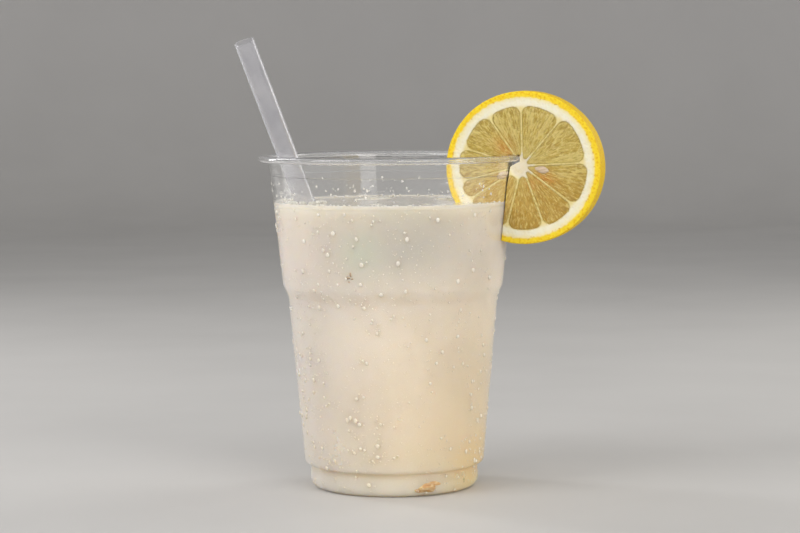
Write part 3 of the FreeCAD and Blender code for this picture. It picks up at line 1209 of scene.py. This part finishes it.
def juice_colours(points, edge, gap, first, second, outer, tone):
    """A colour for each point: sacs of different tones, pale lines between, orange patches, and painted
    shade in darker gold low on the wheel.
    """
    between = smoothstep(gap, 0.14, 0.01) * smoothstep(edge, 0.1, 0.5)
    layers = [
        (PULP_DARK, np.clip(0.15 + 0.35 * (first - 0.45) + 0.30 * outer * second + tone, 0, 0.8)),
        (PULP_PALE, 0.6 * smoothstep(second, 0.62, 0.95)),
        (PULP_PALE, 0.8 * between),
        (PULP_PALE, 0.35 * smoothstep(polar(points, HUB)[0], 9.0, 4.0)),
        # painted shade: darker gold towards the bottom of the wheel
        (PULP_SHADED_GOLD, 0.6 * smoothstep(points[:, 1], 4.0, -14.0)),
    ]
    for p, q, size, strength in ORANGE_PATCHES:
        away = (p, q) - HUB
        away /= np.linalg.norm(away)
        rel = points - (p, q)
        d = np.hypot(rel @ away * 0.75, (rel @ np.array([-away[1], away[0]])) * 1.25)
        layers.append((PULP_ORANGE, strength * np.exp(-((d / size) ** 2)) * (0.55 + 0.6 * first)))
    return layered(PULP, len(points), layers)


def make_juice(wheel):
    """The juice segments, each one in place of its own CAD node."""
    rng = np.random.default_rng(23)
    mat = pulp_material()
    for index, (name, pocket) in enumerate(wheel.pockets.items()):
        loop = overlapped(pocket, wheel.peel)
        points, tris, rings = filled([loop], wheel.step)
        edge = edge_distance(points, [loop])
        gap, first, second = juice_sacs(points, rng, 2.0 + index)
        outer = smoothstep(wheel.rim_depth(points), 9.5, 5.8)
        sacs = 0.20 * smoothstep(gap, 0.02, 0.42) * (0.4 + first)
        lift = 0.02 + sacs + 0.22 * outer * (second - 0.6) + 0.06 * wave(points, 2.2, 5.0)
        lift *= 0.85 * smoothstep(edge, 0.05, 0.75)
        front = wheel.half - 0.17 + lift - 0.14 * smoothstep(edge, 0.17, 0.0)
        front = np.minimum(front, wheel.half + 0.06)
        verts, faces = slab(points, tris, rings, front, -front, [0.04, 0.25, 0.5, 0.75, 0.96])
        tone = rng.uniform(-0.12, 0.12)
        paint = juice_colours(points, edge, gap, first, second, outer, tone)
        colour = np.tile(PULP, (len(verts), 1))
        colour[: 2 * len(points)] = np.tile(paint, (2, 1))
        reach, angle = polar(verts, HUB)
        mesh_piece(
            "juice_" + name.split("_")[-1], wheel.to_world(verts), faces, mat, "lemon_pulp", [name],
            colours=colour, uv=np.column_stack([angle, reach]),
        )


def seed_material():
    mat, bsdf, tree = new_material(
        "lemon_seed", Roughness=0.25, IOR=1.45, Subsurface_Weight=0.3,
        Subsurface_Radius=(1.0, 0.8, 0.6), Subsurface_Scale=0.0012, Coat_Weight=0.5,
        Coat_Roughness=0.1,
    )
    place = place_of(tree)
    grain = noise_of(tree, stretched(tree, place, (1.0, 1.0, 5.0)), 520.0, 3.0, 0.6)
    colour_by(tree, bsdf, grain, [(0.3, SEED_DARK), (0.7, SEED_PALE)])
    add_bump(tree, bsdf, [(grain, 0.4, 0.0002)])
    return mat


# The seeds: the middle as p and q, the length, the width, and 1 on the front face or -1 on the back.
SEEDS = (
    (6.7, -0.65, 5.3, 2.7, 1),
    (-7.2, -2.5, 4.8, 2.6, 1),
    (4.4, 7.4, 5.0, 2.7, -1),
)


def make_seeds(wheel):
    """Pips that lie half sunk in the cut faces: teardrops with their tips towards the hub."""
    mat = seed_material()
    rings, around, sunk = 14, 16, 0.12
    profile = [(0.0, -0.5)]
    profile += [
        (0.5 * sin(pi * t) ** 0.75 * (0.72 + 0.42 * t), t - 0.5)
        for t in np.linspace(0, 1, rings + 1)[1:-1]
    ]
    profile.append((0.0, 0.5))
    verts, faces = lathe(profile, around)
    local = as_array(verts)
    for number, (p, q, length, width, side) in enumerate(SEEDS, 1):
        ahead = math.atan2(q - HUB[1], p - HUB[0])
        along, across, lift = local[:, 2] * length, local[:, 0] * width, local[:, 1] * width * 0.5
        placed = np.column_stack([
            p + along * cos(ahead) - across * sin(ahead),
            q + along * sin(ahead) + across * cos(ahead),
            side * (wheel.half - sunk) + lift,
        ])
        mesh_piece(f"seed_{number}", wheel.to_world(placed), faces, mat, "lemon_pulp")


# ---- build

def cup_material(level):
    """Clear plastic, fogged below the drink's level."""
    mat, bsdf, tree = new_material(
        "clear_plastic", Base_Color=(0.96, 0.96, 0.96, 1), Roughness=0.03, IOR=1.49,
        Transmission_Weight=0.96,
    )
    place = place_of(tree)
    fogged = remap(tree, axes_of(tree, place)["Z"], (level + 1.5) * MM, (level - 2.0) * MM, 0.03, 0.2)
    patchy = remap(tree, noise_of(tree, place, 60.0, 3.0, 0.6), 0.3, 0.7, 0.6, 1.4)
    tree.links.new(product(tree, fogged, patchy), bsdf.inputs["Roughness"])
    ripple = noise_of(tree, stretched(tree, place, (1.0, 1.0, 0.16)), 95.0, 2.0, 0.5)
    haze = noise_of(tree, place, 260.0, 2.0, 0.5)
    add_bump(tree, bsdf, [(ripple, 0.18, 0.0006), (haze, 0.05, 0.0003)])
    let_lamps_through(tree, bsdf, (0.97, 0.97, 0.97))
    return mat


def straw_material():
    mat, bsdf, tree = new_material(
        "frosted_straw", Roughness=0.16, IOR=1.45, Transmission_Weight=0.92, Sheen_Weight=0.5,
        Sheen_Roughness=0.35,
    )
    place = place_of(tree)
    tint = noise_of(tree, place, 160.0, 3.0, 0.5)
    colour_by(tree, bsdf, tint, [(0.3, STRAW_DULL), (0.7, STRAW_BRIGHT)])
    add_bump(tree, bsdf, [(noise_of(tree, place, 900.0, 2.0), 0.12, 0.0002)])
    let_lamps_through(tree, bsdf, (0.7, 0.7, 0.72))
    return mat


def finish_cad_nodes(level):
    """The cup and the straw keep the CAD's shape, and get their materials here."""
    for name, mat in (("cup", cup_material(level)), ("straw", straw_material())):
        nodes[name].data.materials.clear()
        nodes[name].data.materials.append(mat)


def main():
    bpy.context.scene.view_settings.view_transform = "Standard"
    add_camera()
    add_stage()
    add_lights()

    top = 112.0
    wall = Wall(top)
    level = node_points("lemonade")[:, 2].max()
    straw_hit = straw_at(level)
    finish_cad_nodes(level)
    make_drink(wall, level, straw_hit)
    make_foam(wall, level, straw_hit)
    make_bits(wall)
    make_ice(level)
    make_droplets(wall, level)
    wheel = Wheel()
    make_rind(wheel)
    make_juice(wheel)
    make_seeds(wheel)


main()
